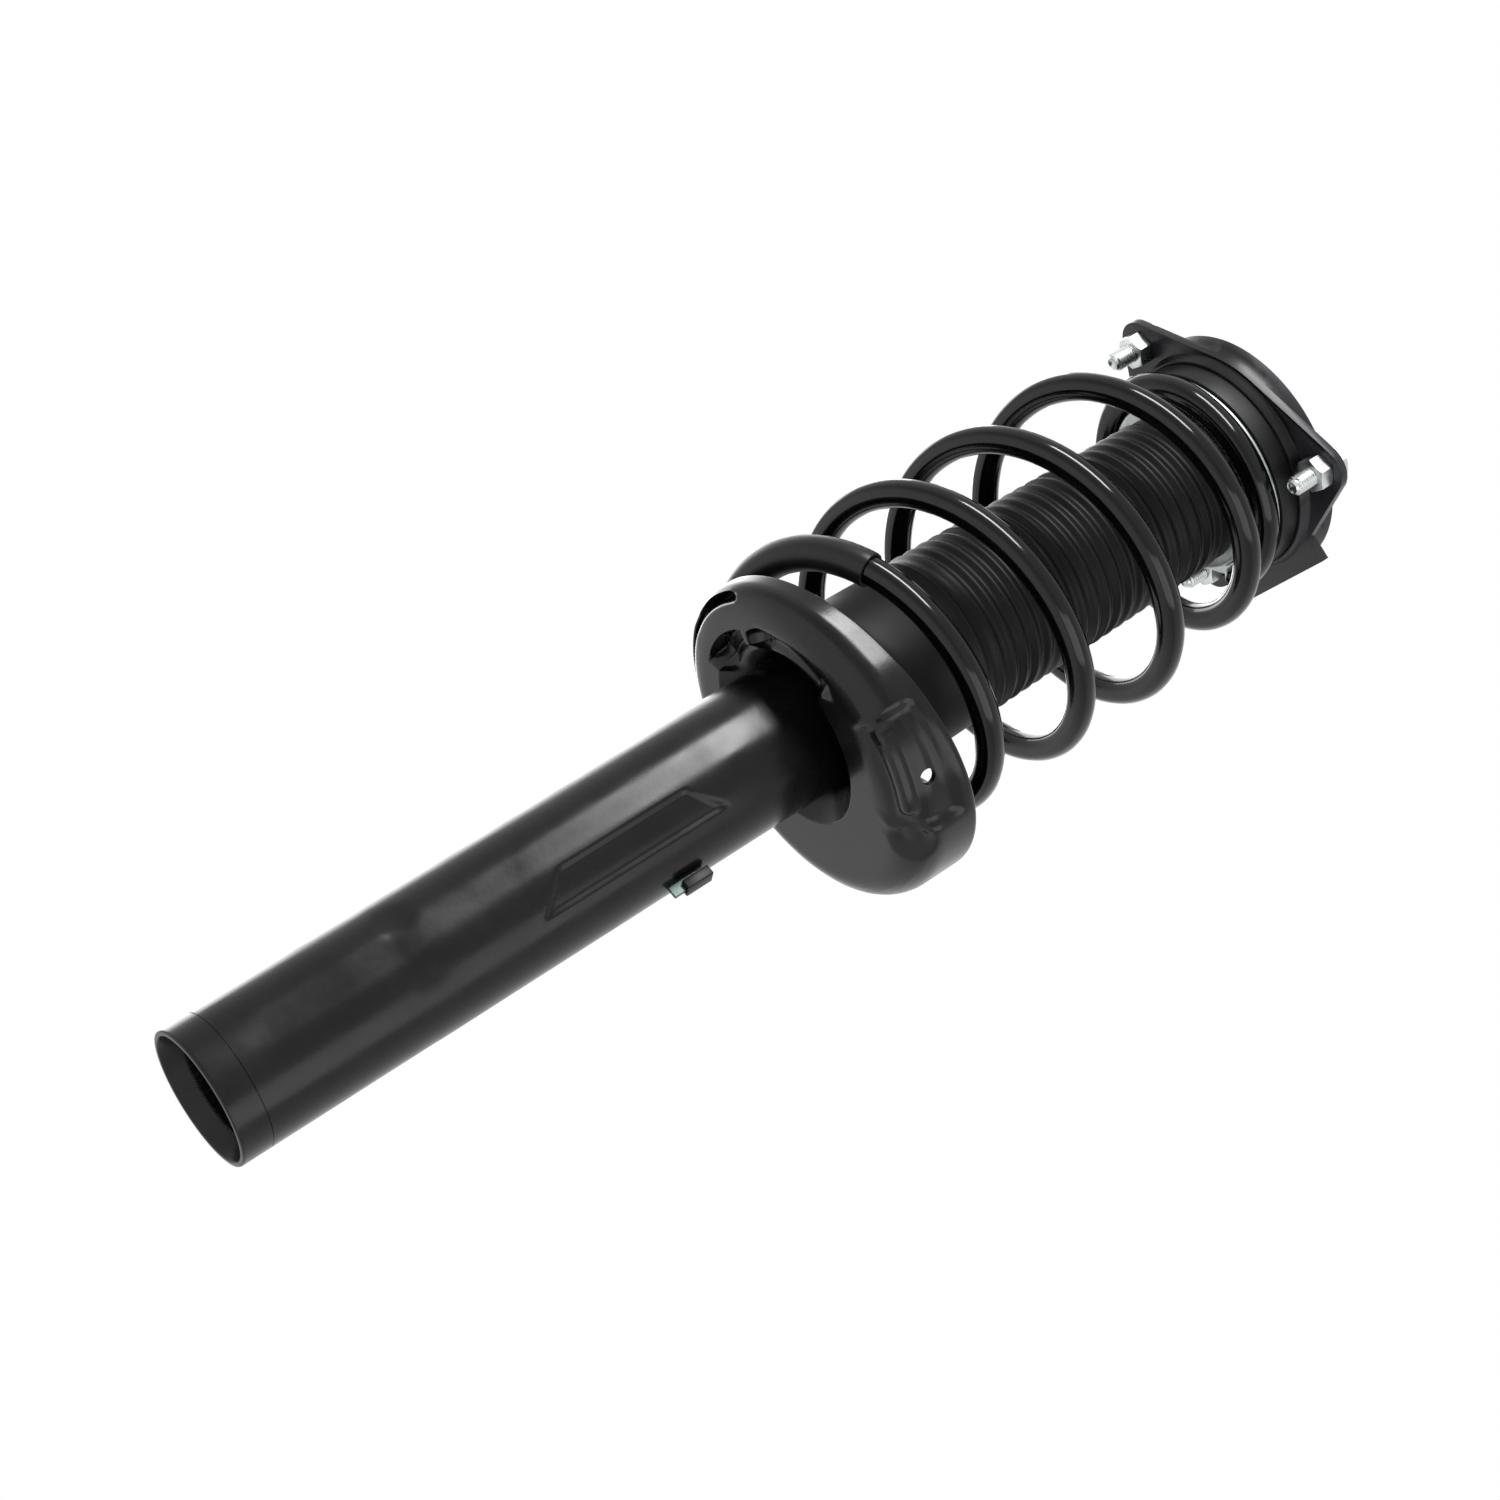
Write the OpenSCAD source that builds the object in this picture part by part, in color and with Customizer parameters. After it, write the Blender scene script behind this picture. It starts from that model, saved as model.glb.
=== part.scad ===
// Clamp-in suspension strut: twin-tube damper, tilted coil spring, dust boot,
// upper spring plate on a ball bearing, and a three-bolt rubber top mount.
// Millimetres. +Z runs up the strut, from the tube's open lower end to the top mount.
// The origin is the centre of the tube's lower end. +Y is the side with the stamped pocket.

/* [Damper tube] */
// Outside radius of the tube over its clamped lower stretch
tube_r = 27.5; // [22:0.1:33]
// Wall of the damper tube
tube_wall = 2.3; // [1.6:0.1:3]
// Length of the sized stretch that a knuckle clamps
clamp_len = 82; // [50:1:95]
// How much the tube's radius grows above the clamped stretch
land_step = 0.1; // [0.05:0.05:0.4]
// Height at which the lower spring seat starts
seat_z = 264; // [230:1:330]
// How far the tube runs on above the underside of the seat
tube_above_seat = 54; // [45:1:80]
// How much thinner in radius the tube is above the seat
neck_step = 1.9; // [1:0.1:3]

/* [Damper internals] */
// Radius of the piston rod
rod_r = 11; // [8:0.1:13.2]
// Inside radius of the working cylinder
bore_r = 16; // [15.5:0.1:18.5]
// Wall of the working cylinder
bore_wall = 1.7; // [1:0.1:2.2]
// Height of the base cup's floor above the tube's end
cup_z = 16; // [10:1:30]
// Length of the rebound stop on the rod
rebound_stop_len = 26; // [16:1:36]

/* [Spring] */
// Radius of the spring wire
wire_r = 5.65; // [4.5:0.05:6.8]
// Mean radius of the spring's full coils
coil_r = 60.4; // [57:0.1:66]
// Wall of the sleeve on the lowest coil
sleeve_wall = 1.35; // [0.8:0.05:2]
// Height from the seat's underside to the upper spring plate
spring_space = 221.8; // [205:0.1:270]
// How far the coils' front runs above their mean height
coil_tilt = 7.4; // [0:0.1:9]

/* [Lower seat] */
// Sheet thickness of the lower seat
seat_sheet = 2.2; // [1.5:0.1:3]
// How far the seat's pan reaches outside the mean coil radius
seat_reach = 8.3; // [7.5:0.1:14]
// How far the pan's centre lies from the strut axis, towards -X
seat_shift = 8; // [0:0.5:10]
// Radius of the recess around the tube
recess_r = 40; // [38:0.5:46]
// Height of the rim at the pan's centre
rim_h = 23.5; // [18:0.5:30]

/* [Boot and upper plate] */
// Number of folds in the dust boot
boot_folds = 19; // [8:1:22]
// Depth of the boot's folds
fold_depth = 2; // [1:0.1:4]
// Wall of the boot
boot_wall = 1.2; // [0.8:0.1:1.8]
// Sheet thickness of the upper spring plate
plate_sheet = 1.8; // [1.2:0.1:2.4]
// Depth of the upper plate's hub below its rim
hub_depth = 11; // [8:0.5:16]
// Length of the bump stop
bump_len = 74; // [50:1:90]

/* [Top mount] */
// Number of balls in the top bearing
ball_count = 24; // [12:1:30]
// Radius of a bearing ball
ball_r = 2.4; // [1.8:0.1:3]
// Radial distance from the upper plate's rim to the tower bolts
bolt_out = 13.4; // [12:0.1:20]
// Radius of the tower bolts' shanks
bolt_r = 4; // [3:0.5:5]
// Thickness of the mount's stamped plate
mount_sheet = 3.4; // [2.5:0.1:5]
// Height of the mount's outer wall
mount_wall_h = 9; // [5:0.5:12]
// How far the threaded tails run below the mount's plate
tail_len = 16.5; // [14:0.5:22]

/* [Hidden] */
$fn = 96;

clear = 0.05;       // running and slip clearance on a radius
apart = 0.3;        // gap between bodies that move past one another
small = 0.4;        // edge break on turned pieces

// --- heights and radii that follow from the sizes above ---
land_r = tube_r + land_step;
land_run = 3;                      // length of the step from the clamped stretch to the rest
inner_r = tube_r - tube_wall;
neck_r = tube_r - neck_step;
neck_in_r = neck_r - tube_wall;
tube_top = seat_z + tube_above_seat;
neck_z = seat_z + 22;              // the tube narrows just above the seat's collar
neck_run = 4;
lip_h = 2.2;                       // rolled lip that closes the tube
seal_h = 5;
guide_h = 18;
seal_z = tube_top - lip_h - seal_h;
guide_z = seal_z - guide_h;        // underside of the rod guide's spigot
guide_spigot = 6;
bush_r = rod_r + clear + 2.2;
cyl_r = bore_r + bore_wall;
cup_floor = 2.5;
valve_z = cup_z + cup_floor;
valve_h = 9;
cap_wall = 0.9;
cap_r = neck_r + clear + cap_wall;
cap_z = tube_top - 16;
cap_top = 3;

// rod train, at full extension
plate_z = seat_z + spring_space;   // underside of the upper plate's rim
piston_h = 20;
piston_nut_h = 7;
stop_top = guide_z - apart;
stop_z = stop_top - rebound_stop_len;
piston_z = stop_z - 34 - piston_h;
stub_r = 6;                        // the rod's lower thread
rod_low = piston_z - piston_nut_h - 1;

// spring: height of the wire's centre at turn t, t = 0 on the +X side
wire_top = plate_z - wire_r - clear;
lead_z = seat_z + 28.8;            // the wire's centre where the lowest coil leaves the seat
turns = 4;
sag = -1.9;
tail_t = -0.46;
head_t = 4.52;
sleeve_r = wire_r + sleeve_wall;
sleeve_end_t = 0.152;
floor_z = seat_z + seat_sheet;
rest_z = floor_z + sleeve_r + clear;
pitch = (wire_top - lead_z) / turns;
ease_t = 0.5;                      // stretch over which the top coil flattens
low_shrink = 2.9;                  // the lowest coil's radius is this much smaller
mid_x = 1.3;                       // coil centre, off the strut axis
mid_y = 4.2;
function smooth(x) = let (c = min(1, max(0, x))) c * c * (3 - 2 * c);
function flat_top(t) = smooth((t - turns + ease_t) / ease_t);
function wire_free_z(t) = lead_z + pitch * t + sag * sin(60 * t) + coil_tilt * sin(360 * t);
function wire_z(t) =
  let (free = max(rest_z, wire_free_z(t)), k = flat_top(t)) min(wire_top, free * (1 - k) + wire_top * k);
function wire_rad(t) =
  coil_r - low_shrink * (1 - min(1, max(0, t))) - (coil_r - pig_r) * smooth(t - turns + 1);
function wire_off(t) = 1 - smooth(t - turns + 1);
function wire_at(t) = [mid_x * wire_off(t) + wire_rad(t) * cos(360 * t),
  mid_y * wire_off(t) + wire_rad(t) * sin(360 * t), wire_z(t)];
function unit(v) = v / norm(v);
function section(t, r, n) =
  let (e = 0.004, run = unit(wire_at(t + e) - wire_at(t - e)),
    out = [cos(360 * t), sin(360 * t), 0], side = unit(out - (out * run) * run),
    up = cross(run, side), mid = wire_at(t))
  [for (i = [0 : n - 1]) mid + r * (cos(360 * i / n) * side + sin(360 * i / n) * up)];

// boot, hub, plate and bearing chain outwards from the tube
boot_z = seat_z + 22;              // open lower rim of the boot
boot_in = cap_r + 7.25;
cuff_h = 54;
boot_taper = 3.9;                  // how much slimmer the boot is at its top
boot_crest = boot_in + boot_wall + fold_depth;
hub_z = plate_z - hub_depth;
boot_top = hub_z;
hub_r = boot_crest + 0.45;
pig_gap = 0.9;
pig_r = hub_r + pig_gap + wire_r;
plate_lip = 1.1;
plate_r = pig_r + plate_lip;
bump_r = 24;
bump_in = rod_r + 0.6;
hub_hole = bump_r + 1;
race_out = plate_r - 1.3;
ball_pitch = race_out - 6.8;
race_z = plate_z + plate_sheet;
race_h = 4.1;
groove_r = ball_r + apart;
ball_z = race_z + race_h + 1.1;
cage_h = 1.6;
race2_z = 2 * ball_z - race_z - race_h;
mount_z = race2_z + race_h + 3;
rubber_r = ball_pitch - 6;
housing_wall = 1.4;
housing_in = race_out + 0.6;

// mount
bolt_pitch = plate_r + bolt_out;
bolt_angle = -6.5;
lobe_r = 11;
mount_r = bolt_pitch - 8.5;
lug_out = 6;                       // how far the straight side's lug stands out
lug_from = -42;
lug_to = 22;
skirt_h = 4;
skirt_r = housing_in + housing_wall + apart;
wall_t = 3;
dome_h = 14;
stud_r = 7;                        // the rod's upper stud
shoulder_z = mount_z - 10;
core_r = 15.4;
core_flange_r = 23;
core_flange = 3;
core_top = mount_z + mount_sheet + dome_h + 1.5;
rod_nut_af = 22;
rod_nut_h = 12;
rod_top = core_top + rod_nut_h + 3.5;
hex = 1 / cos(30);
nut_af = 3.25 * bolt_r;
nut_h = 1.62 * bolt_r;
head_h = 1.32 * bolt_r;
hole_gap = 0.25;
thread_depth = 0.6;                // the shank is this much thinner inside the nut and the plate

module ring(r_in, r_out, z, h) {
  translate([0, 0, z]) rotate_extrude() translate([r_in, 0]) square([r_out - r_in, h]);
}

module turned(points) { rotate_extrude() polygon(points); }

module sector(r_in, r_out, z, h, a, span) {
  translate([0, 0, z]) rotate([0, 0, a]) rotate_extrude(angle = span)
    translate([r_in, 0]) square([r_out - r_in, h]);
}

module at_bolts() { for (i = [0 : 2]) rotate([0, 0, bolt_angle + 120 * i]) translate([bolt_pitch, 0, 0]) children(); }

// ---------------------------------------------------------------- damper

pocket_z = clamp_len + 65;
pocket_len = 64;
pocket_w = 13;
pocket_depth = 2;
pocket_angle = 100;
pocket_slant = 12;
dent_z = clamp_len + 5;
dent_r = 6;

module outer_tube() color([0.55, 0.6, 0.68]) difference() {
  turned([[inner_r, 0], [tube_r, 0], [tube_r, clamp_len], [land_r, clamp_len + land_run],
    [land_r, neck_z], [neck_r, neck_z + neck_run], [neck_r, tube_top - 1], [neck_r - 1, tube_top],
    [neck_in_r - 4, tube_top], [neck_in_r - 4, tube_top - lip_h], [neck_in_r, tube_top - lip_h],
    [neck_in_r, neck_z + neck_run], [inner_r, neck_z]]);
  // stamped flat pocket, with slanted ends, that stays inside the wall
  rotate([0, 0, pocket_angle]) translate([land_r - min(pocket_depth, tube_wall - 0.9), 0, pocket_z])
    rotate([90, 0, 90]) linear_extrude(pocket_depth + 1)
      polygon([[-pocket_w / 2, 0], [pocket_w / 2, -pocket_slant / 2],
        [pocket_w / 2, pocket_len + pocket_slant / 2], [-pocket_w / 2, pocket_len]]);
  // two shallow dimples that mark the clamp's upper limit
  for (a = [50.6, 103.8]) rotate([0, 0, a]) translate([land_r + dent_r - 1.1, 0, dent_z]) sphere(dent_r);
}

module base_cup() color([0.75, 0.72, 0.6]) turned([[0, cup_z - 2.5], [8, cup_z - 2.5], [10, cup_z],
  [inner_r - 3, cup_z], [inner_r - 3, cup_z - 8], [inner_r - clear, cup_z - 8],
  [inner_r - clear, valve_z], [0, valve_z]]);

module working_cylinder() color([0.8, 0.8, 0.85]) ring(bore_r, cyl_r, valve_z + valve_h - 4,
  guide_z + guide_spigot - valve_z - valve_h + 4);

module foot_valve() color([0.85, 0.65, 0.35]) difference() {
  union() {
    ring(0, cyl_r + 2, valve_z + 1.6, valve_h - 5.6);
    ring(0, bore_r - clear, valve_z + 1.6, valve_h - 1.6);
    for (a = [0 : 90 : 270]) rotate([0, 0, a]) translate([cyl_r - 2, -2, valve_z]) cube([4, 4, 1.7]);
  }
  for (a = [0 : 60 : 300]) rotate([0, 0, a]) translate([bore_r * 0.6, 0, valve_z - 1]) cylinder(h = valve_h + 2, r = 1.2, $fn = 24);
}

module rod_guide() color([0.6, 0.75, 0.6]) turned([[bush_r + clear, guide_z], [bore_r - clear, guide_z],
  [bore_r - clear, guide_z + guide_spigot], [neck_in_r - clear, guide_z + guide_spigot],
  [neck_in_r - clear, seal_z], [bush_r + clear, seal_z]]);

module guide_bush() color([0.85, 0.55, 0.25]) ring(rod_r + clear, bush_r, guide_z + 1.5, guide_h - 3);

module rod_seal() color([0.25, 0.25, 0.28]) turned([[rod_r + clear, seal_z + 1.5], [rod_r + 1.6, seal_z],
  [neck_in_r - clear, seal_z], [neck_in_r - clear, seal_z + seal_h - clear],
  [rod_r + 2.5, seal_z + seal_h - clear], [rod_r + clear, seal_z + 3.2]]);

module end_cap() color([0.35, 0.4, 0.5]) turned([[neck_r + clear, cap_z], [cap_r, cap_z],
  [cap_r, tube_top + cap_top - 1], [cap_r - 1, tube_top + cap_top], [rod_r + 2, tube_top + cap_top],
  [rod_r + 2, tube_top + clear], [neck_r + clear, tube_top + clear]]);

// ---------------------------------------------------------------- lower seat

pan_r = coil_r + seat_reach;
rim_drop = 0.14;                   // the rim's height falls this much per millimetre towards +X
drain_r = 3.2;
collar_h = 20;
ramp_w = 17;                       // width of the lowest coil's ramp
ramp_x = 30;                       // where the ramp starts, along X
ramp_y = 18;                       // where the ramp ends, along Y
drain_angle = 126;
cut_x = 18;                        // where the rim's lowered stretch starts
cut_slope = (pitch / PI / 2 + coil_tilt) / (coil_r - low_shrink);   // the lowest coil's rise along Y
ramp_gap = 2.4;                     // height between the ramp and the sleeve above it, at Y = 0

// outer wall and flat floor of the pan around its shifted centre, with the lowest coil's ramp
module seat_pan() difference() {
  union() {
    difference() {
      translate([-seat_shift, 0, 0]) turned([[pan_r - 22, seat_z], [pan_r - 3, seat_z], [pan_r, seat_z + 3],
        [pan_r, seat_z + 60], [pan_r - seat_sheet, seat_z + 60], [pan_r - seat_sheet, floor_z],
        [pan_r - 22, floor_z]]);
      // the rim is trimmed on a slant, higher on the -X side
      translate([-seat_shift, 0, seat_z + rim_h]) rotate([0, atan(rim_drop), 0])
        translate([-2 * pan_r, -2 * pan_r, 0]) cube([4 * pan_r, 4 * pan_r, 80]);
    }
    intersection() {
      translate([-seat_shift, 0, 0]) ring(pan_r - ramp_w, pan_r - seat_sheet / 2, floor_z - seat_sheet / 2, 50);
      translate([ramp_x, -2 * pan_r, seat_z]) cube([2 * pan_r, 2 * pan_r + ramp_y, 80]);
    }
  }
  // rim and ramp are both trimmed under the lowest coil, where it climbs over the rim
  translate([cut_x, 0, lead_z - sleeve_r - ramp_gap]) rotate([atan(cut_slope), 0, 0])
    translate([0, -2 * pan_r, 0]) cube([2 * pan_r, 2 * pan_r + 2 * ramp_y, 60]);
}

module lower_seat() color([0.3, 0.42, 0.5]) difference() {
  union() {
    seat_pan();
    translate([0, 0, seat_z]) linear_extrude(seat_sheet) difference() {
      translate([-seat_shift, 0]) circle(pan_r - 21.5);
      circle(recess_r);
    }
    // recess wall and collar, drawn up around the tube
    turned([[recess_r - seat_sheet, seat_z + 1], [recess_r, seat_z], [recess_r + 1, seat_z + 0.5],
      [recess_r + 1, floor_z], [land_r + clear + seat_sheet, seat_z + 15],
      [land_r + clear + seat_sheet, seat_z + collar_h], [land_r + clear, seat_z + collar_h],
      [land_r + clear, seat_z + 13.5]]);
  }
  rotate([0, 0, drain_angle]) translate([pan_r - 14, 0, seat_z + 14]) rotate([0, 90, 0])
    cylinder(h = 40, r = drain_r, $fn = 48);
}

tab_angle = 158;
tab_z = 186;
tab_w = 12;
tab_out = 4.4;                      // how far the tab stands off the tube

module line_tab() color([0.75, 0.78, 0.75]) rotate([0, 0, tab_angle]) difference() {
  translate([0, -1, tab_z]) cube([land_r + tab_out, 2, tab_w]);
  translate([0, 0, tab_z - 1]) cylinder(h = tab_w + 2, r = land_r + clear);
}

module line_clip() color([0.2, 0.2, 0.22]) rotate([0, 0, tab_angle]) difference() {
  translate([land_r + 1.2, -3.2, tab_z + 5]) cube([tab_out - 0.2, 6.4, tab_w]);
  translate([land_r - 2, -1 - clear, tab_z - 1]) cube([tab_out + 2 + clear, 2 + 2 * clear, tab_w + 1 + clear]);
}

// ---------------------------------------------------------------- spring

wire_sides = 14;
rings_per_turn = 40;

module coil_spring() color([0.2, 0.3, 0.55]) {
  n = round((head_t - tail_t) * rings_per_turn);
  m = wire_sides;
  pts = [for (j = [0 : n]) each section(tail_t + (head_t - tail_t) * j / n, wire_r, m)];
  faces = concat([[for (i = [0 : m - 1]) i]], [[for (i = [m - 1 : -1 : 0]) n * m + i]],
    [for (j = [0 : n - 1], i = [0 : m - 1]) let (k = (i + 1) % m)
      each [[j * m + i, (j + 1) * m + k, j * m + k], [j * m + i, (j + 1) * m + i, (j + 1) * m + k]]]);
  polyhedron(pts, faces);
}

module coil_sleeve() color([0.3, 0.3, 0.3]) {
  // its rings stand at the same turns as the wire's, so the two surfaces stay parallel
  count = round((head_t - tail_t) * rings_per_turn);
  step = (head_t - tail_t) / count;
  n = round((sleeve_end_t - tail_t) / step) - 1;
  m = wire_sides;
  pts = [for (j = [0 : n]) let (t = tail_t + (j + 1) * step)
    each concat(section(t, sleeve_r, m), section(t, wire_r + clear, m))];
  faces = concat(
    [for (i = [0 : m - 1]) let (k = (i + 1) % m) each [[i, k, m + k], [i, m + k, m + i]]],
    [for (i = [0 : m - 1]) let (k = (i + 1) % m, b = n * 2 * m)
      each [[b + i, b + m + k, b + k], [b + i, b + m + i, b + m + k]]],
    [for (j = [0 : n - 1], i = [0 : m - 1]) let (k = (i + 1) % m, p = j * 2 * m, q = p + 2 * m)
      each [[p + i, q + k, p + k], [p + i, q + i, q + k],
        [p + m + i, p + m + k, q + m + k], [p + m + i, q + m + k, q + m + i]]]);
  polyhedron(pts, faces);
}

// ---------------------------------------------------------------- upper spring plate, boot

module upper_plate() color([0.8, 0.82, 0.8]) turned([[hub_hole, hub_z], [hub_r - 1, hub_z],
  [hub_r, hub_z + 1], [hub_r, plate_z - 0.6], [hub_r + 0.6, plate_z], [plate_r, plate_z],
  [plate_r, plate_z + plate_sheet], [hub_r - plate_sheet, plate_z + plate_sheet],
  [hub_r - plate_sheet, hub_z + plate_sheet], [hub_hole, hub_z + plate_sheet]]);

module lower_race() color([0.7, 0.75, 0.8]) rotate_extrude() difference() {
  translate([rubber_r + 1.5, race_z]) square([race_out - rubber_r - 1.5, race_h]);
  translate([ball_pitch, ball_z]) circle(groove_r);
}

fold_span = boot_top - boot_z - cuff_h - 1;
fold_p = fold_span / boot_folds;
function boot_slim(z) = boot_taper * (z - boot_z) / (boot_top - boot_z);
function boot_out_at(i, f) = let (z = boot_z + cuff_h + (i + f) * fold_p)
  [boot_in + boot_wall - boot_slim(z) + fold_depth * pow(sin(180 * f), 0.8), z];

module dust_boot() color([0.25, 0.25, 0.25]) {
  shell = concat([[boot_crest - 1, boot_z], [boot_crest, boot_z + 1.2], [boot_crest, boot_z + cuff_h - 4]],
    [for (i = [0 : boot_folds - 1], f = [0, 0.2, 0.4, 0.6, 0.8]) boot_out_at(i, f)],
    [[boot_in + boot_wall - boot_taper, boot_top - clear]]);
  turned(concat(shell, [for (i = [len(shell) - 1 : -1 : 0]) shell[i] - [boot_wall, 0]]));
}

module bump_stop() color([0.75, 0.7, 0.45]) {
  top = race_z;
  low = top - bump_len;
  turned([[bump_in, low], [bump_r - 8, low], [bump_r - 6, low + 3], [bump_r - 6, low + 12],
    [bump_r - 8, low + 16], [bump_r - 3, low + 21], [bump_r - 3, low + 32], [bump_r - 5, low + 36],
    [bump_r, low + 42], [bump_r, top - apart], [bump_in, top - apart]]);
}

// ---------------------------------------------------------------- bearing

module ball_cage() color([0.85, 0.8, 0.55]) difference() {
  ring(ball_pitch - 3.4, ball_pitch + 3.4, ball_z - cage_h / 2, cage_h);
  for (i = [0 : ball_count - 1]) rotate([0, 0, 360 * i / ball_count])
    translate([ball_pitch, 0, ball_z - cage_h]) cylinder(h = 2 * cage_h, r = ball_r + clear, $fn = 48);
}

module bearing_balls() color([0.9, 0.9, 0.92]) for (i = [0 : ball_count - 1])
  rotate([0, 0, 360 * i / ball_count]) translate([ball_pitch, 0, ball_z]) sphere(ball_r, $fn = 48);

module upper_race() color([0.45, 0.5, 0.6]) rotate_extrude() difference() {
  polygon([[rubber_r + 1.5, race2_z], [race_out, race2_z], [housing_in, race2_z - 1],
    [housing_in, race_z + 0.4], [housing_in + housing_wall, race_z + 0.4],
    [housing_in + housing_wall, mount_z], [rubber_r + 1.5, mount_z]]);
  translate([ball_pitch, ball_z]) circle(groove_r);
}

// ---------------------------------------------------------------- rod train

module piston_rod() color([0.88, 0.9, 0.92]) turned([[0, rod_low], [stub_r - small, rod_low],
  [stub_r, rod_low + small], [stub_r, piston_z + piston_h], [rod_r - small, piston_z + piston_h],
  [rod_r, piston_z + piston_h + small], [rod_r, shoulder_z - small], [rod_r - small, shoulder_z],
  [stud_r, shoulder_z], [stud_r, rod_top - 1], [stud_r - 1, rod_top], [0, rod_top]]);

module piston() color([0.7, 0.55, 0.4]) difference() {
  turned([[stub_r + clear, piston_z], [bore_r - 2, piston_z], [bore_r - 2, piston_z + 3],
    [bore_r - clear, piston_z + 4], [bore_r - clear, piston_z + piston_h - 4],
    [bore_r - 2, piston_z + piston_h - 3], [bore_r - 2, piston_z + piston_h - clear],
    [stub_r + clear, piston_z + piston_h - clear]]);
  for (a = [0 : 45 : 315]) rotate([0, 0, a]) translate([bore_r * 0.65, 0, piston_z - 1])
    cylinder(h = piston_h + 2, r = 1.3, $fn = 24);
}

module piston_nut() color([0.6, 0.6, 0.65]) difference() {
  translate([0, 0, piston_z - piston_nut_h]) cylinder(h = piston_nut_h, r = 9.5 * hex, $fn = 6);
  translate([0, 0, piston_z - piston_nut_h - 1]) cylinder(h = piston_nut_h + 2, r = stub_r + clear);
}

module rebound_stop() color([0.5, 0.7, 0.5]) turned([[rod_r + clear, stop_z], [bore_r - 1.5, stop_z],
  [bore_r - 0.8, stop_z + 1], [bore_r - 0.8, stop_top - 1], [bore_r - 1.5, stop_top], [rod_r + clear, stop_top]]);

// ---------------------------------------------------------------- top mount

lobe_turn = acos((mount_r - lobe_r) / bolt_pitch);

module mount_outline() {
  circle(mount_r);
  for (i = [0 : 2]) rotate(bolt_angle + 120 * i) {
    translate([bolt_pitch, 0]) circle(lobe_r);
    polygon([for (s = [-1, 1]) each (s < 0 ?
        [mount_r * [cos(lobe_turn), -sin(lobe_turn)], [bolt_pitch, 0] + lobe_r * [cos(lobe_turn), -sin(lobe_turn)]] :
        [[bolt_pitch, 0] + lobe_r * [cos(lobe_turn), sin(lobe_turn)], mount_r * [cos(lobe_turn), sin(lobe_turn)]])]);
  }
  translate([-mount_r - lug_out, lug_from]) square([20, lug_to - lug_from]);
}

module mount_plate() color([0.4, 0.4, 0.42]) {
  dome_in = rubber_r + clear;
  difference() {
    union() {
      translate([0, 0, mount_z]) linear_extrude(mount_sheet) mount_outline();
      turned([[skirt_r, mount_z - skirt_h], [skirt_r + 0.9, mount_z - skirt_h],
        [mount_r + 2.4, mount_z + mount_wall_h], [mount_r + 2.4 - wall_t, mount_z + mount_wall_h],
        [mount_r + 2.4 - wall_t, mount_z + mount_sheet - 1], [skirt_r, mount_z + mount_sheet - 1]]);
      ring(dome_in, dome_in + wall_t, mount_z, mount_sheet + dome_h);
    }
    translate([0, 0, mount_z - 1]) cylinder(h = mount_sheet + dome_h + 2, r = dome_in);
    at_bolts() translate([0, 0, mount_z - 1]) cylinder(h = mount_sheet + 2, r = bolt_r + hole_gap, $fn = 48);
    // room for the bolt heads where the raised wall would meet them
    at_bolts() translate([0, 0, mount_z + mount_sheet]) cylinder(h = mount_wall_h + 2, r = nut_af * 0.5 * hex + 2.4);
  }
}

module mount_rubber() color([0.22, 0.22, 0.2]) turned([[core_r + clear, mount_z - 6.8],
  [rubber_r - 5, mount_z - 6.8], [rubber_r, mount_z - 2], [rubber_r, mount_z + mount_sheet + dome_h - 3],
  [rubber_r - 3, mount_z + mount_sheet + dome_h], [core_r + clear, mount_z + mount_sheet + dome_h]]);

module inner_sleeve() color([0.65, 0.68, 0.72]) turned([[stud_r + clear, shoulder_z], [core_flange_r, shoulder_z],
  [core_flange_r, shoulder_z + core_flange], [core_r, shoulder_z + core_flange],
  [core_r, core_top - 1], [core_r - 1, core_top], [stud_r + clear, core_top]]);

module rod_nut() color([0.8, 0.8, 0.7]) difference() {
  union() {
    translate([0, 0, core_top]) cylinder(h = 2.5, r = rod_nut_af / 2 + 2.5);
    translate([0, 0, core_top]) cylinder(h = rod_nut_h, r = rod_nut_af / 2 * hex, $fn = 6);
  }
  translate([0, 0, core_top - 1]) cylinder(h = rod_nut_h + 2, r = stud_r + clear);
}

module tower_bolts() color([0.85, 0.83, 0.75]) at_bolts() {
  translate([0, 0, mount_z - tail_len]) cylinder(h = tail_len - nut_h - 4 * clear, r = bolt_r, $fn = 64);
  translate([0, 0, mount_z - tail_len + 1]) cylinder(h = tail_len + mount_sheet, r = bolt_r - thread_depth, $fn = 64);
  translate([0, 0, mount_z + mount_sheet]) cylinder(h = head_h, r = nut_af / 2 * hex, $fn = 6);
}

module tower_nuts() color([0.9, 0.88, 0.8]) at_bolts() difference() {
  union() {
    translate([0, 0, mount_z - nut_h - clear]) cylinder(h = nut_h, r = nut_af / 2 * hex, $fn = 6);
    translate([0, 0, mount_z - 1.3 - clear]) cylinder(h = 1.3, r = nut_af / 2 * hex + 0.5);
  }
  translate([0, 0, mount_z - nut_h - 1]) cylinder(h = nut_h + 2, r = bolt_r - thread_depth + clear, $fn = 64);
}

outer_tube();
base_cup();
working_cylinder();
foot_valve();
rod_guide();
guide_bush();
rod_seal();
end_cap();
lower_seat();
line_tab();
line_clip();
coil_spring();
coil_sleeve();
upper_plate();
lower_race();
dust_boot();
bump_stop();
ball_cage();
bearing_balls();
piston_rod();
piston();
piston_nut();
rebound_stop();
upper_race();
mount_plate();
mount_rubber();
inner_sleeve();
rod_nut();
tower_bolts();
tower_nuts();
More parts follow.
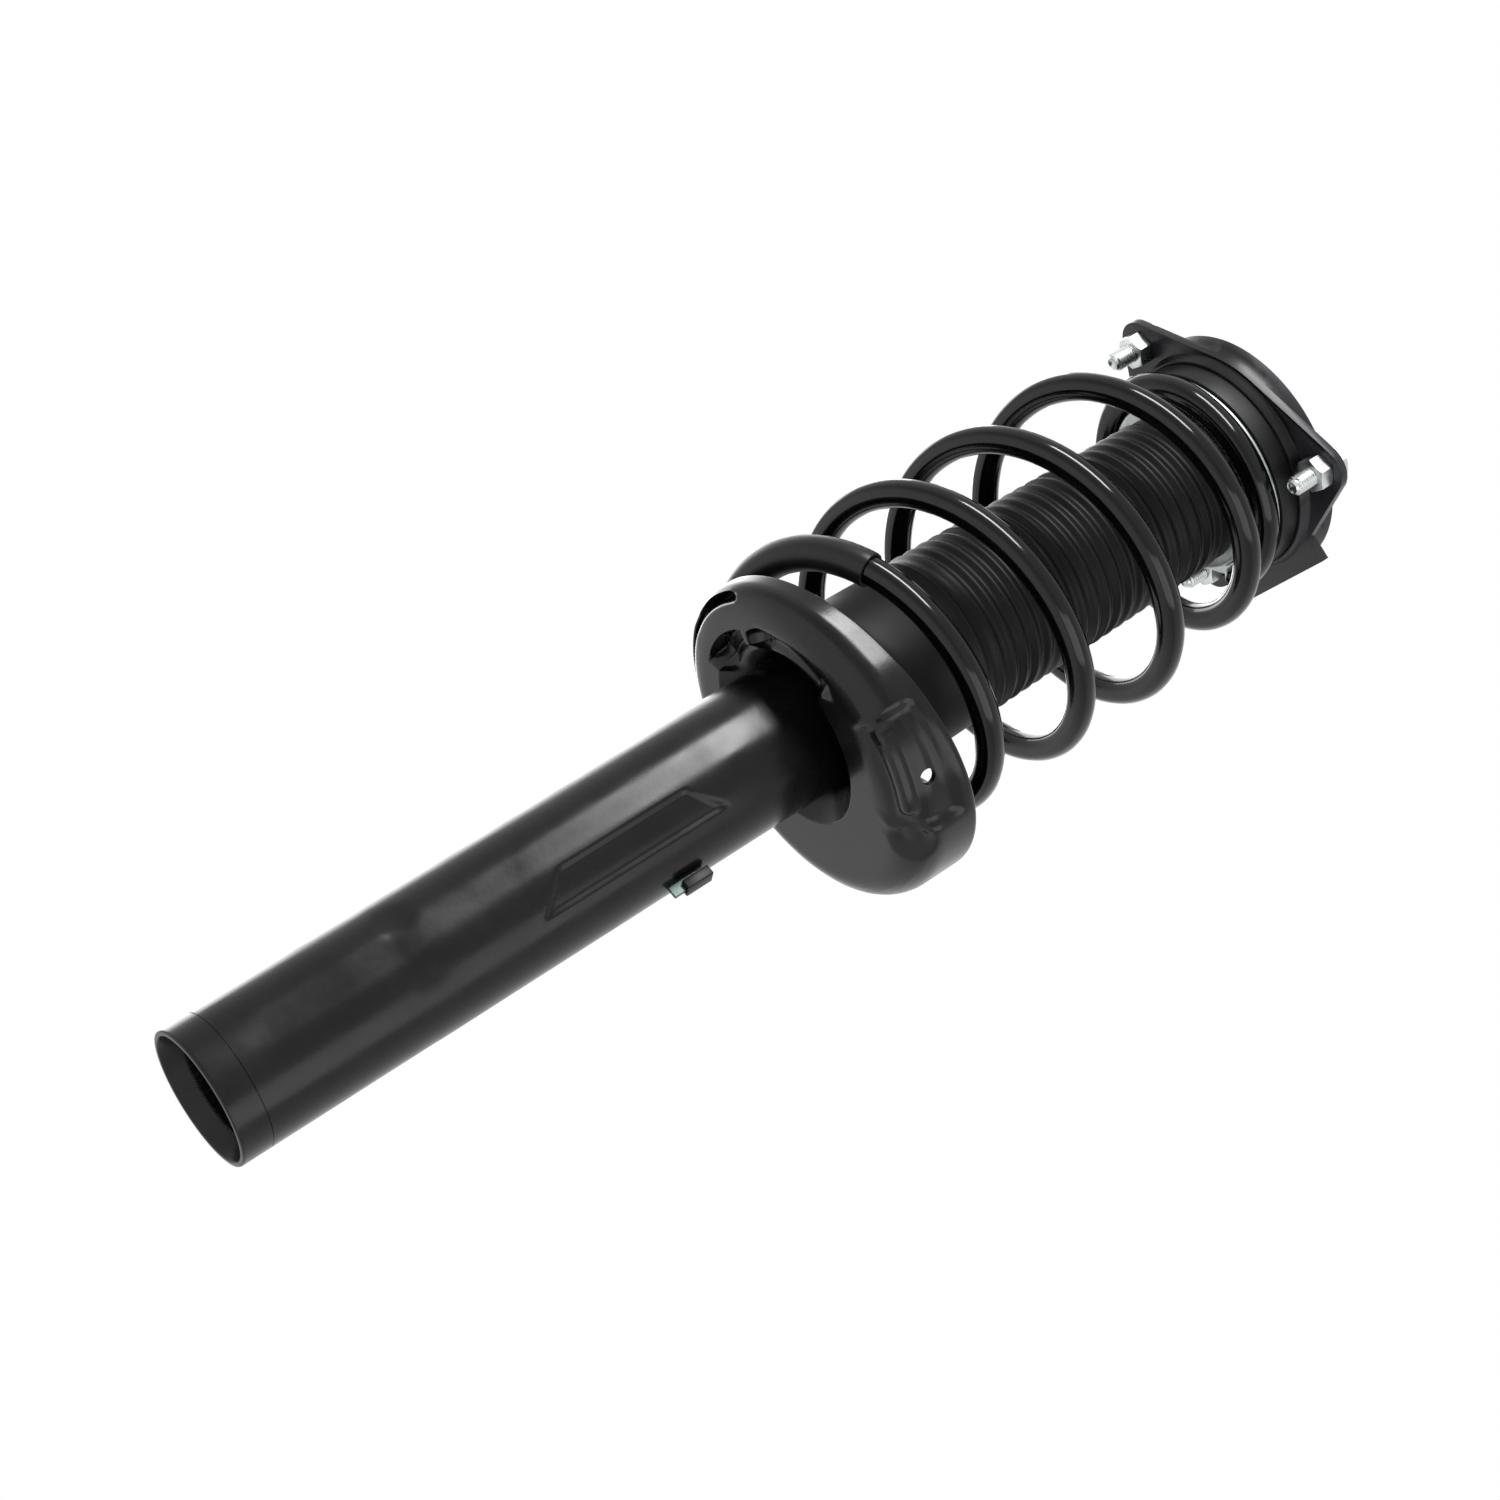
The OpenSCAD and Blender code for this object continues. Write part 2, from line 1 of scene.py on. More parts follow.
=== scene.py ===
"""Looks of a clamp-in suspension strut: damper, lower seat, coil spring, boot, plate and top mount.

Shapes are built in millimetres in the frame's own axes (+Z runs up the strut, the origin is the centre
of the tube's lower end) and are scaled to metres as each piece is finished.
"""

import logging
import math
from dataclasses import dataclass, field
from enum import Enum
from typing import Any, Sequence

import bmesh
import bpy
from mathutils import Matrix, Vector


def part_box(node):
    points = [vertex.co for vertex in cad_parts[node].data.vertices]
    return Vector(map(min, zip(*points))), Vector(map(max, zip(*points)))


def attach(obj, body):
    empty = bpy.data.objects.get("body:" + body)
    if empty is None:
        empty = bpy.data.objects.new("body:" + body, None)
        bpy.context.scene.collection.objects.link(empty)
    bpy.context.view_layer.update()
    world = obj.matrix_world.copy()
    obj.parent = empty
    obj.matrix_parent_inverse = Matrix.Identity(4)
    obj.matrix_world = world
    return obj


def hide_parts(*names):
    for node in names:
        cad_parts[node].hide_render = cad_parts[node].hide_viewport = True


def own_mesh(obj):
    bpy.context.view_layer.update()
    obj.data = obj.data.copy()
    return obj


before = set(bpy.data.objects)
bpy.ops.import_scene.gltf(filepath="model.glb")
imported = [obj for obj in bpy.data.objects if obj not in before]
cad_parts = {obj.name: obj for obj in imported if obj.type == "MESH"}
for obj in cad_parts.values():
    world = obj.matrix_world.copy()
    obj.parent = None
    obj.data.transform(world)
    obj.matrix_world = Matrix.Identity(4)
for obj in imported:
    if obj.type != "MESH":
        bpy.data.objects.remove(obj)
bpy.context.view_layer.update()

MM = 0.001
FULL_TURN = 2 * math.pi
LOG = logging.getLogger("strut")
Point = tuple[float, float]


class Body(Enum):
    """The strut's bodies, which the pieces ride on."""

    DAMPER = "strut_body"
    SPRING_TOP = "spring_top"
    BALLS = "ball_ring"
    ROD = "mount_and_rod"


class Surface(Enum):
    """How a surface was made, which sets its fine pattern."""

    COATED = "orange peel of a baked coating"
    PLATED = "cloudy crystalline plating"
    MOULDED = "fine grain of a moulded skin"
    TURNED = "rings left by a turning tool"
    CELLS = "open cells of a foam"


# ------------------------------------------------------------------ finishes


def linear(code: str) -> tuple[float, float, float, float]:
    """Turn an sRGB hex colour into the linear values that a shader takes.

    Args:
        code: six hex digits, such as "1c1c1e".

    Returns:
        Linear red, green and blue, and an alpha of 1.
    """
    parts = [int(code[i : i + 2], 16) / 255 for i in (0, 2, 4)]
    red, green, blue = [c / 12.92 if c <= 0.04045 else ((c + 0.055) / 1.055) ** 2.4 for c in parts]
    return red, green, blue, 1.0


def add_node(
    tree: bpy.types.NodeTree,
    kind: str,
    settings: dict[Any, Any] | None = None,
    links: dict[Any, Any] | None = None,
) -> bpy.types.Node:
    """Add one node, set its properties or socket values, and link its inputs.

    Args:
        tree: the node tree.
        kind: the node's type.
        settings: values by property name, or by input name or number.
        links: output sockets by input name or number.

    Returns:
        The new node.
    """
    node = tree.nodes.new(kind)
    for key, value in (settings or {}).items():
        if isinstance(key, str) and hasattr(node, key):
            setattr(node, key, value)
        else:
            node.inputs[key].default_value = value
    for key, socket in (links or {}).items():
        tree.links.new(socket, node.inputs[key])
    return node


@dataclass(frozen=True)
class Finish:
    """A real finish, with the look that its process leaves."""

    name: str
    slot: str
    base: str
    shade: str
    surface: Surface
    pattern_mm: float
    roughness: float
    spread: float = 0.06
    metallic: float = 0.0
    ior: float = 1.5
    coat: float = 0.0
    specular: float = 0.5
    bump_mm: float = 0.02
    # lighter colour on proud edges: partly real wear of the coating, partly a painted highlight
    edge: str = ""
    cloud_mm: float = 22.0

    def pattern(self, tree: bpy.types.NodeTree,
                place: bpy.types.NodeSocket) -> bpy.types.NodeSocket:
        """Add the fine pattern of the surface, at its real size.

        Args:
            tree: the material's nodes.
            place: object coordinates, in metres.

        Returns:
            A socket that runs from 0 to 1.
        """
        scale = 1 / (self.pattern_mm * MM)
        if self.surface is Surface.TURNED:
            rings = {"wave_type": "BANDS", "bands_direction": "Z", "Scale": scale / 20,
                     "Distortion": 1.5,
                     "Detail": 2.0}
            return add_node(tree, "ShaderNodeTexWave", rings, {"Vector": place}).outputs["Fac"]
        if self.surface is Surface.CELLS:
            cells = {"Scale": scale, "Randomness": 1.0}
            return add_node(tree, "ShaderNodeTexVoronoi", cells,
                            {"Vector": place}).outputs["Distance"]
        detail = {Surface.COATED: 1.0, Surface.PLATED: 6.0, Surface.MOULDED: 3.0}[self.surface]
        grain = {"Scale": scale, "Detail": detail, "Roughness": 0.55}
        return add_node(tree, "ShaderNodeTexNoise", grain, {"Vector": place}).outputs["Fac"]

    def build(self) -> bpy.types.Material:
        """Make the material, or return it if it has been made.

        Returns:
            The procedural material.
        """
        made = bpy.data.materials.get(self.name)
        if made:
            return made
        material = bpy.data.materials.new(self.name)
        material.use_nodes = True
        tree = material.node_tree
        tree.nodes.clear()
        place = add_node(tree, "ShaderNodeTexCoord").outputs["Object"]
        cloud_scale = 1 / (self.cloud_mm * MM)
        cloud = add_node(tree, "ShaderNodeTexNoise", {"Scale": cloud_scale, "Detail": 4.0},
                         {"Vector": place})
        fine = self.pattern(tree, place)
        both = add_node(tree, "ShaderNodeMath", {"operation": "MULTIPLY"},
                        {0: cloud.outputs["Fac"], 1: fine})
        blend = add_node(tree, "ShaderNodeMapRange", {"From Min": 0.1, "From Max": 0.42},
                         {"Value": both.outputs[0]})
        colour = add_node(tree, "ShaderNodeMix", {"data_type": "RGBA", 6: linear(self.base),
                                                  7: linear(self.shade)},
                          {0: blend.outputs[0]}).outputs[2]
        if self.edge:
            # edges that stand proud get a lighter colour: partly the coating worn thin there, partly a painted
            # highlight on those edges and on the boot's fold crests
            point = add_node(tree, "ShaderNodeNewGeometry").outputs["Pointiness"]
            proud = add_node(tree, "ShaderNodeMapRange", {"From Min": 0.53, "From Max": 0.6},
                             {"Value": point})
            wear_and_highlight = add_node(tree, "ShaderNodeMath", {"operation": "MULTIPLY"},
                            {0: proud.outputs[0], 1: cloud.outputs["Fac"]})
            colour = add_node(tree, "ShaderNodeMix", {"data_type": "RGBA", 7: linear(self.edge)},
                              {0: wear_and_highlight.outputs[0], 6: colour}).outputs[2]
        rough = add_node(tree, "ShaderNodeMapRange", {"From Min": 0.3, "From Max": 0.7,
                         "To Min": self.roughness - self.spread,
                                                      "To Max": self.roughness + self.spread},
                         {"Value": cloud.outputs["Fac"]})
        bump = add_node(tree, "ShaderNodeBump", {"Strength": 0.6, "Distance": self.bump_mm * MM},
                        {"Height": fine})
        shader = add_node(tree, "ShaderNodeBsdfPrincipled",
                          {"Metallic": self.metallic, "IOR": self.ior, "Coat Weight": self.coat,
                           "Coat Roughness": 0.06, "Specular IOR Level": self.specular},
                          {"Base Color": colour, "Roughness": rough.outputs[0],
                           "Normal": bump.outputs[0]})
        add_node(tree, "ShaderNodeOutputMaterial", None, {"Surface": shader.outputs[0]})
        return material


# Cathodic dip coat over drawn steel tube: even satin black with a soft orange peel.
TUBE_COAT = Finish("dip_coat_tube", "tube_black", "040405", "09090a", Surface.COATED, 2.2, 0.24,
                   specular=0.24, edge="242427")
# The same dip coat on pressed sheet, which carries more grain from the rolled steel.
SEAT_COAT = Finish("dip_coat_pressing", "seat_black", "050506", "0b0b0d", Surface.COATED, 1.6, 0.22,
                   specular=0.26, edge="2c2c30", bump_mm=0.02)
# Powder coat on spring wire: thick and glossy, so its highlights are long, thin and white.
SPRING_COAT = Finish("powder_coat_spring", "spring_black", "030303", "060607", Surface.COATED, 3.0,
                     0.13,
                     spread=0.02, specular=0.28, bump_mm=0.015)
# Extruded polyurethane hose over the lowest coil: matt, faintly dusty.
SLEEVE_HOSE = Finish("polyurethane_hose", "sleeve_black", "08080a", "101012", Surface.MOULDED, 0.8,
                     0.42,
                     specular=0.25)
# Blow-moulded thermoplastic elastomer: soft sheen; its lighter edge colour paints a highlight on the crests of
# the folds.
BOOT_SKIN = Finish("blow_moulded_elastomer", "boot_black", "040404", "0a0a0a", Surface.MOULDED, 0.9,
                   0.45,
                   specular=0.16, edge="303030")
# Zinc electroplate, clear passivated: pale grey metal with a slight cloudiness.
ZINC = Finish("zinc_plate", "zinc", "b9bfbe", "9aa1a1", Surface.PLATED, 1.4, 0.36, spread=0.08,
              metallic=1.0,
              edge="d5d9d8", bump_mm=0.01)
# Yellow-passivated tab, dulled to grey-green where the strut's black coat has dusted over it.
TAB_ZINC = Finish("dulled_zinc_tab", "zinc", "46524f", "343d3b", Surface.PLATED, 1.0, 0.4,
                  metallic=0.8)
# Zinc-flake coat on bolts and nuts: brighter and a little rougher than electroplate.
ZINC_FASTENER = Finish("zinc_flake_fastener", "zinc_bolt", "c9cdcc", "a3a8a9", Surface.PLATED, 0.8,
                       0.30,
                       spread=0.07, metallic=1.0, edge="e6e8e8", bump_mm=0.015, cloud_mm=6.0)
# Phosphated and painted steel of the top mount: satin black.
MOUNT_COAT = Finish("painted_stamping", "mount_black", "060607", "0d0d0f", Surface.COATED, 1.2,
                    0.32,
                    specular=0.26, edge="2e2e32", bump_mm=0.03)
# Compression-moulded natural rubber of the mount's core.
CORE_RUBBER = Finish("moulded_rubber", "core_rubber", "0a0a0a", "141414", Surface.MOULDED, 0.7,
                     0.55,
                     specular=0.3)
# Cellular polyurethane of the bump stop: pale cream foam with a moulded skin.
CELL_FOAM = Finish("cellular_polyurethane", "foam", "c9bd94", "b3a67c", Surface.CELLS, 0.9, 0.75,
                   bump_mm=0.08)
# Hard chrome ground to a mirror on the piston rod.
CHROME = Finish("hard_chrome", "chrome_rod", "cfd2d6", "c4c8cc", Surface.TURNED, 0.4, 0.09,
                spread=0.02,
                metallic=1.0, bump_mm=0.002)
# Cold-drawn steel with turning marks.
BARE_STEEL = Finish("turned_steel", "bare_steel", "a5a6a8", "8b8d90", Surface.TURNED, 0.5, 0.3,
                    metallic=1.0)
# Sintered iron: dull grey with open pores.
SINTERED = Finish("sintered_iron", "sinter", "6c6a68", "54524f", Surface.CELLS, 0.4, 0.55,
                  metallic=1.0)
# Bronze-backed bush.
BRONZE = Finish("bearing_bronze", "bronze", "b98a4c", "9c7038", Surface.TURNED, 0.5, 0.32,
                metallic=1.0)
# Nitrile rubber of the rod seal.
SEAL = Finish("nitrile_rubber", "seal_rubber", "151515", "222222", Surface.MOULDED, 0.5, 0.5)
# Glass-filled nylon of the bearing housing and cap: black with a fine spark-eroded grain.
NYLON = Finish("glass_filled_nylon", "plastic", "060606", "0c0c0d", Surface.MOULDED, 0.6, 0.42,
               specular=0.22)
# Natural nylon of the ball cage.
CAGE = Finish("natural_nylon", "cage_nylon", "d8d2bf", "c7c0aa", Surface.MOULDED, 0.6, 0.45)
# Through-hardened and lapped bearing steel.
BALL_STEEL = Finish("lapped_bearing_steel", "ball_steel", "c6c9cc", "b9bcc0", Surface.PLATED, 1.0,
                    0.08,
                    spread=0.02, metallic=1.0, bump_mm=0.001)

# The CAD nodes whose own shape is right, and their finishes.
NODE_FINISHES: dict[str, Finish] = {
    "base_cup": TUBE_COAT,
    "working_cylinder": BARE_STEEL,
    "foot_valve": SINTERED,
    "rod_guide": SINTERED,
    "guide_bush": BRONZE,
    "rod_seal": SEAL,
    "end_cap": NYLON,
    "line_tab": TAB_ZINC,
    "lower_race": BARE_STEEL,
    "ball_cage": CAGE,
    "bearing_balls": BALL_STEEL,
    "piston_rod": CHROME,
    "piston": SINTERED,
    "piston_nut": BARE_STEEL,
    "rebound_stop": SEAL,
    "mount_rubber": CORE_RUBBER,
    "inner_sleeve": ZINC,
}


# ------------------------------------------------------------------ mesh tools


def smooth(value: float) -> float:
    """Return a smooth step from 0 to 1 as value goes from 0 to 1."""
    c = min(1.0, max(0.0, value))
    return c * c * (3 - 2 * c)


def box_mm(node: str) -> tuple[Vector, Vector]:
    """Return a CAD node's lowest and highest corners in millimetres."""
    low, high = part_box(node)
    return low / MM, high / MM


def rounded(corners: Sequence[tuple[float, float, float]], steps: int = 5) -> list[Point]:
    """Round the corners of a closed outline.

    Args:
        corners: radius, height and fillet of each corner, in order.
        steps: segments in each fillet.

    Returns:
        The outline's points.
    """
    points: list[Point] = []
    count = len(corners)
    for i, (r, z, fillet) in enumerate(corners):
        here = Vector((r, z))
        if fillet <= 0:
            points.append((r, z))
            continue
        before = (Vector(corners[i - 1][:2]) - here).normalized()
        after = (Vector(corners[(i + 1) % count][:2]) - here).normalized()
        half = before.angle(after) / 2
        centre = here + (before + after).normalized() * (fillet / math.sin(half))
        start = here + before * (fillet / math.tan(half)) - centre
        end = here + after * (fillet / math.tan(half)) - centre
        for k in range(steps + 1):
            arm = start.lerp(end, k / steps).normalized() * fillet
            points.append(tuple(centre + arm))
    return points


def dense(points: Sequence[Point], longest: float) -> list[Point]:
    """Add points to a closed outline so that no side is longer than a given length.

    Args:
        points: the outline.
        longest: the longest side to leave.

    Returns:
        The outline with the added points.
    """
    result: list[Point] = []
    for here, there in zip(points, list(points[1:]) + [points[0]]):
        count = max(1, math.ceil(math.dist(here, there) / longest))
        result += [tuple(Vector(here).lerp(Vector(there), k / count)) for k in range(count)]
    return result


def revolve(points: Sequence[Point], steps: int = 128) -> bmesh.types.BMesh:
    """Spin a closed outline of radius and height round the strut axis.

    Args:
        points: the outline.
        steps: segments in the turn.

    Returns:
        The closed solid of revolution.
    """
    bm = bmesh.new()
    verts = [bm.verts.new((r, 0, z)) for r, z in points]
    edges = [bm.edges.new(pair) for pair in zip(verts, verts[1:] + verts[:1])]
    bmesh.ops.spin(bm, geom=verts + edges, cent=(0, 0, 0), axis=(0, 0, 1), angle=FULL_TURN,
                   steps=steps,
                   use_merge=True)
    bmesh.ops.remove_doubles(bm, verts=bm.verts, dist=1e-4)
    bmesh.ops.recalc_face_normals(bm, faces=bm.faces)
    return bm


def join(target: bmesh.types.BMesh, other: bmesh.types.BMesh,
         place: Matrix = Matrix.Identity(4)) -> None:
    """Add another bmesh to a target, moved by a matrix, and free it.

    Args:
        target: the bmesh that grows.
        other: the bmesh to add.
        place: where the added shape goes.
    """
    other.transform(place)
    mesh = bpy.data.meshes.new("joined")
    other.to_mesh(mesh)
    other.free()
    target.from_mesh(mesh)
    bpy.data.meshes.remove(mesh)


def face_outwards(bm: bmesh.types.BMesh) -> None:
    """Recalculate the normals so that every face points outwards."""
    bmesh.ops.recalc_face_normals(bm, faces=bm.faces)


def plain_object(name: str, bm: bmesh.types.BMesh) -> bpy.types.Object:
    """Make an object of a bmesh that is still in millimetres, and free the bmesh."""
    mesh = bpy.data.meshes.new(name)
    bm.to_mesh(mesh)
    bm.free()
    obj = bpy.data.objects.new(name, mesh)
    bpy.context.scene.collection.objects.link(obj)
    return obj


def settle(obj: bpy.types.Object) -> bmesh.types.BMesh:
    """Apply an object's modifiers, remove the object and return its shape.

    Args:
        obj: the object with live modifiers, or a curve.

    Returns:
        The finished shape as a bmesh.
    """
    bpy.context.view_layer.update()
    graph = bpy.context.evaluated_depsgraph_get()
    mesh = bpy.data.meshes.new_from_object(obj.evaluated_get(graph))
    bm = bmesh.new()
    bm.from_mesh(mesh)
    bpy.data.meshes.remove(mesh)
    bpy.data.objects.remove(obj)
    return bm


def cut(body: bmesh.types.BMesh, tool: bmesh.types.BMesh,
        operation: str = "DIFFERENCE") -> bmesh.types.BMesh:
    """Combine two closed shapes with an exact boolean.

    Args:
        body: the shape to keep.
        tool: the shape that cuts it.
        operation: DIFFERENCE, INTERSECT or UNION.

    Returns:
        The combined shape.
    """
    body_obj = plain_object("cut_body", body)
    tool_obj = plain_object("cut_tool", tool)
    modifier = body_obj.modifiers.new("cut", "BOOLEAN")
    modifier.object = tool_obj
    modifier.operation = operation
    modifier.solver = "EXACT"
    result = settle(body_obj)
    bpy.data.objects.remove(tool_obj)
    return result


def copy_of_node(node: str) -> bmesh.types.BMesh:
    """Return a merged copy of a CAD node's mesh in millimetres, with its flat faces joined up."""
    bm = bmesh.new()
    bm.from_mesh(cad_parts[node].data)
    bmesh.ops.scale(bm, vec=(1 / MM,) * 3, verts=bm.verts)
    bmesh.ops.remove_doubles(bm, verts=bm.verts, dist=1e-3)
    bmesh.ops.dissolve_limit(bm, angle_limit=math.radians(0.6), verts=bm.verts, edges=bm.edges)
    return bm


def soften(bm: bmesh.types.BMesh, width: float, segments: int = 3,
           angle: float = 32) -> bmesh.types.BMesh:
    """Round the sharp edges of a shape.

    Args:
        bm: the shape, which is used up.
        width: width of the rounding.
        segments: segments across it.
        angle: edges sharper than this are rounded, in degrees.

    Returns:
        The softened shape.
    """
    obj = plain_object("soften", bm)
    bevel = obj.modifiers.new("bevel", "BEVEL")
    bevel.width = width
    bevel.segments = segments
    bevel.limit_method = "ANGLE"
    bevel.angle_limit = math.radians(angle)
    bevel.profile = 0.5
    bevel.use_clamp_overlap = True
    return settle(obj)


def finish_piece(
    name: str,
    bm: bmesh.types.BMesh,
    finish: Finish,
    body: Body,
    stands_for: Sequence[str] = (),
    crease: float = 34,
) -> bpy.types.Object:
    """Turn a shape in millimetres into a finished piece that rides on its body.

    Args:
        name: the piece's name.
        bm: its shape, which is used up.
        finish: its finish.
        body: the body that it moves with.
        stands_for: the CAD nodes that it replaces.
        crease: faces that meet at more than this many degrees keep a sharp edge.

    Returns:
        The piece's object.
    """
    bmesh.ops.scale(bm, vec=(MM,) * 3, verts=bm.verts)
    bmesh.ops.remove_doubles(bm, verts=bm.verts, dist=1e-8)
    for face in bm.faces:
        face.smooth = True
    obj = plain_object(name, bm)
    obj.data.set_sharp_from_angle(angle=math.radians(crease))
    obj.data.materials.append(finish.build())
    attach(obj, body.value)
    if stands_for:
        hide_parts(*stands_for)
    LOG.info("%s: %d faces, %s, rides on %s", name, len(obj.data.polygons), finish.name, body.value)
    return obj


# ------------------------------------------------------------------ damper


@dataclass
class DamperTube:
    """The damper's outer tube, with its clamp stretch, two dimples and a long stamped pocket."""

    wall: float = 2.3
    clamp_length: float = 82.0
    land_radius: float = 27.6
    neck_radius: float = 25.6
    neck_start: float = 286.0
    neck_end: float = 290.0
    lip: float = 2.2
    mark_height: float = 12.5
    mark_depth: float = 0.25
    pocket_bottom: float = 147.0
    pocket_length: float = 64.0
    pocket_width: float = 13.0
    pocket_angle: float = 100.0
    pocket_slant: float = 12.0
    pocket_depth: float = 1.4
    dimple_height: float = 87.0
    dimple_angles: tuple[float, ...] = (50.6, 103.8)
    dimple_radius: float = 10.0
    dimple_depth: float = 0.75
    groove_angle: float = 72.0
    groove_half: float = 17.0
    groove_depth: float = 0.42
    groove_start: float = 15.0
    groove_end: float = 92.0
    row: float = 1.5
    land_step: float = 0.1
    land_run: float = 3.0
    stamp_edge: float = 1.6
    groove_fade: float = 14.0
    radius: float = field(init=False)
    top: float = field(init=False)

    def __post_init__(self) -> None:
        """Take the tube's radius and height from the frame."""
        high = box_mm("outer_tube")[1]
        self.radius = self.land_radius - self.land_step
        self.top = high.z

    def outline(self) -> list[Point]:
        """Return the tube wall's closed outline, with close rows where it is stamped."""
        inner = self.radius - self.wall
        neck_in = self.neck_radius - self.wall
        mark = self.mark_height
        deep = self.radius - self.mark_depth
        outside = [(inner, 0.6), (inner + 0.5, 0.0), (self.radius - 0.7, 0.0),
                   (self.radius - 0.2, 0.2),
                   (self.radius, 0.7), (self.radius, 1.4), (self.radius, mark - 0.6),
                   (self.radius, mark - 0.25),
                   (deep, mark - 0.1), (deep, mark + 0.1), (self.radius, mark + 0.25),
                   (self.radius, mark + 0.6)]
        start = mark + 2.0
        finish = self.pocket_bottom + self.pocket_length + self.pocket_slant
        heights = [start + k * self.row for k in range(round((finish - start) / self.row))]
        grown = self.land_radius - self.radius
        stamped = [(self.radius + grown * smooth((z - self.clamp_length) / self.land_run),
                    z) for z in heights]
        neck = [(self.land_radius, self.neck_start - 0.6),
                (self.land_radius - 0.2, self.neck_start),
                (self.neck_radius + 0.2, self.neck_end - 0.4),
                (self.neck_radius, self.neck_end + 0.4),
                (self.neck_radius, self.top - 2), (self.neck_radius - 0.6, self.top - 0.6),
                (self.neck_radius - 2, self.top), (neck_in - 4, self.top),
                (neck_in - 4, self.top - self.lip),
                (neck_in, self.top - self.lip), (neck_in, self.neck_end), (inner, self.neck_start)]
        return outside + stamped + neck

    def stamp(self, bm: bmesh.types.BMesh) -> None:
        """Press the pocket and the dimples into the outer wall.

        Args:
            bm: the tube's shape.
        """
        for vert in bm.verts:
            reach = math.hypot(vert.co.x, vert.co.y)
            if reach < self.land_radius - 0.5:
                continue
            angle = math.degrees(math.atan2(vert.co.y, vert.co.x))
            across = math.radians(angle - self.pocket_angle) * reach
            tilt = self.pocket_slant * (0.5 + across / self.pocket_width)
            low = self.pocket_bottom - tilt
            high = self.pocket_bottom + self.pocket_length + tilt - 6
            inside = min(self.pocket_width / 2 - abs(across), vert.co.z - low, high - vert.co.z)
            depth = self.pocket_depth * smooth(inside / self.stamp_edge + 0.5)
            for centre in self.dimple_angles:
                gap = math.hypot(math.radians(angle - centre) * reach,
                                 vert.co.z - self.dimple_height)
                depth += self.dimple_depth * (1 - smooth(gap / self.dimple_radius))
            fade_in = smooth((vert.co.z - self.groove_start) / self.groove_fade)
            fade_out = smooth((vert.co.z - self.groove_end + self.groove_fade) / self.groove_fade)
            beside = smooth(abs(angle - self.groove_angle) / self.groove_half)
            depth += self.groove_depth * (fade_in * (1 - fade_out)) * (1 - beside)
            shrink = (reach - depth) / reach
            vert.co.x *= shrink
            vert.co.y *= shrink

    def build(self) -> None:
        """Build and dress the tube."""
        bm = revolve(self.outline(), steps=192)
        self.stamp(bm)
        finish_piece("damper_tube", bm, TUBE_COAT, Body.DAMPER, ["outer_tube"], crease=50)


@dataclass
class LineClip:
    """The black clip over the zinc tab on the tube."""

    edge: float = 0.5

    def build(self) -> None:
        """Round the clip's edges and dress it."""
        bm = soften(copy_of_node("line_clip"), self.edge)
        finish_piece("cable_clip", bm, NYLON, Body.DAMPER, ["line_clip"])


# ------------------------------------------------------------------ lower seat


